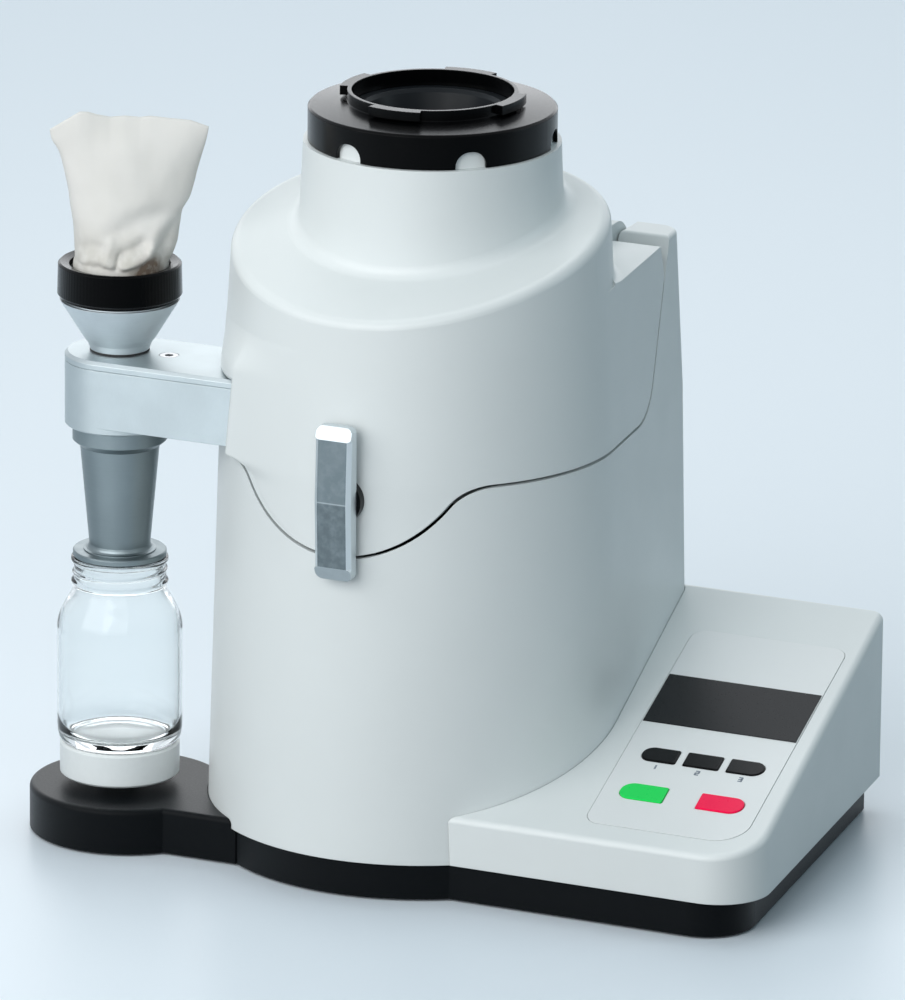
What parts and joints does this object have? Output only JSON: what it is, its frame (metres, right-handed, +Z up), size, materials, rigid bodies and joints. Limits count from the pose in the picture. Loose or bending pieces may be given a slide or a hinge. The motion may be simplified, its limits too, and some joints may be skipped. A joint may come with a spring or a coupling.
{
  "type": "cyclone mill",
  "caption": "Bench cyclone mill: hinged lid with feed funnel over a grinding chamber, side arm with cyclone, filter bag and sample bottle, and a sloping control console.",
  "frame": {"origin": "middle of the bounding box in plan, on the surface that the feet stand on", "axes": "+X to the user's right, toward the control console; -Y to the front, where the latch is; +Z up"},
  "size_m": [0.4482, 0.2824, 0.4275],
  "materials": {
    "base_plastic": "satin",
    "rubber": "matte",
    "housing": "satin",
    "steel": "brushed",
    "black_plastic": "satin",
    "gloss_black": "glossy",
    "funnel_plastic": "satin",
    "satin_metal": "satin",
    "cast_aluminium": "satin",
    "grit_iron": "rough",
    "motor_paint": "satin",
    "core_iron": "matte",
    "satin_aluminium": "satin",
    "bag_fabric": "woven",
    "bottle_glass": "clear",
    "white_plastic": "satin",
    "panel_plastic": "satin",
    "display_plastic": "glossy",
    "board_green": "satin",
    "key_green": "glossy",
    "key_red": "glossy"
  },
  "bodies": {
    "housing_body": {"base_plate": "base_plastic", "base_feet": "rubber", "lower_housing": "housing", "hinge_pin": "steel", "latch_keeper": "steel", "motor_deck": "cast_aluminium", "deck_posts": "steel", "chamber_housing": "cast_aluminium", "sieve_ring": "steel", "friction_ring": "grit_iron", "motor_can": "motor_paint", "motor_end_cap": "cast_aluminium", "motor_stator": "core_iron", "lower_bearing": "steel", "upper_bearing": "steel", "cyclone_arm": "satin_aluminium", "arm_cover": "satin_aluminium", "arm_screw": "steel", "cyclone_body": "satin_metal", "cyclone_disc": "satin_metal", "rest_spring": "steel", "bottle_pad": "base_plastic", "console_cover": "housing", "control_panel": "panel_plastic", "display_window": "display_plastic", "display_module": "display_plastic", "control_board": "board_green", "key_switches": "black_plastic", "power_inlet": "black_plastic", "switch_frame": "black_plastic"},
    "lid": {"lid_shell": "housing", "feed_ring": "black_plastic", "feed_funnel": "funnel_plastic", "latch_bush": "black_plastic", "chamber_cover": "cast_aluminium", "lid_seal": "rubber"},
    "latch": {"latch_lever": "satin_metal", "latch_cam": "steel"},
    "rotor_set": {"rotor": "cast_aluminium", "rotor_nut": "steel", "motor_shaft": "steel", "motor_armature": "core_iron", "cooling_fan": "black_plastic"},
    "rocker": {"power_switch": "gloss_black"},
    "outlet": {"outlet_cone": "satin_metal", "outlet_seal": "rubber", "filter_bag": "bag_fabric"},
    "clamp_ring": {"bag_ring": "gloss_black"},
    "rest": {"bottle_rest": "white_plastic"},
    "bottle": {"sample_bottle": "bottle_glass"},
    "button_speed_low": {"key_speed_low": "gloss_black"},
    "button_speed_mid": {"key_speed_mid": "gloss_black"},
    "button_speed_high": {"key_speed_high": "gloss_black"},
    "button_start": {"key_start": "key_green"},
    "button_stop": {"key_stop": "key_red"}
  },
  "joints": [
    {"name": "lid_hinge", "type": "hinge", "parent": "housing_body", "child": "lid", "pos_m": [-0.01625, 0.12117, 0.314], "axis": [-1, 0, 0], "range_deg": [0, 70]},
    {"name": "latch_turn", "type": "hinge", "parent": "lid", "child": "latch", "pos_m": [-0.01275, -0.13083, 0.227], "axis": [0, -1, 0], "range_deg": [0, 180]},
    {"name": "rotor_spin", "type": "hinge", "parent": "housing_body", "child": "rotor_set", "pos_m": [-0.01625, -0.00283, 0.24], "axis": [0, 0, 1], "continuous": true},
    {"name": "outlet_lift", "type": "slide", "parent": "housing_body", "child": "outlet", "axis": [0, 0, 1], "range_m": [0, 0.06]},
    {"name": "clamp_ring_turn", "type": "hinge", "parent": "outlet", "child": "clamp_ring", "pos_m": [-0.17335, -0.07243, 0.318], "axis": [0, 0, 1], "range_deg": [0, 90]},
    {"name": "rest_press", "type": "slide", "parent": "housing_body", "child": "rest", "axis": [0, 0, -1], "range_m": [0, 0.005], "stiffness_N_per_m": 2000, "springref_m": -0.006, "deforming": ["rest_spring"]},
    {"name": "bottle_slide", "type": "slide", "parent": "rest", "child": "bottle", "axis": [0, -1, 0], "range_m": [0, 0.12]},
    {"name": "rocker_tilt", "type": "hinge", "parent": "housing_body", "child": "rocker", "pos_m": [0.17375, 0.13567, 0.058], "axis": [-1, 0, 0], "range_deg": [0, 16]},
    {"name": "speed_low_press", "type": "slide", "parent": "housing_body", "child": "button_speed_low", "axis": [0, 0.2649, -0.9643], "range_m": [0, 0.0008], "stiffness_N_per_m": 800, "springref_m": -0.0005},
    {"name": "speed_mid_press", "type": "slide", "parent": "housing_body", "child": "button_speed_mid", "axis": [0, 0.2649, -0.9643], "range_m": [0, 0.0008], "stiffness_N_per_m": 800, "springref_m": -0.0005},
    {"name": "speed_high_press", "type": "slide", "parent": "housing_body", "child": "button_speed_high", "axis": [0, 0.2649, -0.9643], "range_m": [0, 0.0008], "stiffness_N_per_m": 800, "springref_m": -0.0005},
    {"name": "start_press", "type": "slide", "parent": "housing_body", "child": "button_start", "axis": [0, 0.2649, -0.9643], "range_m": [0, 0.0008], "stiffness_N_per_m": 800, "springref_m": -0.0005},
    {"name": "stop_press", "type": "slide", "parent": "housing_body", "child": "button_stop", "axis": [0, 0.2649, -0.9643], "range_m": [0, 0.0008], "stiffness_N_per_m": 800, "springref_m": -0.0005}
  ]
}
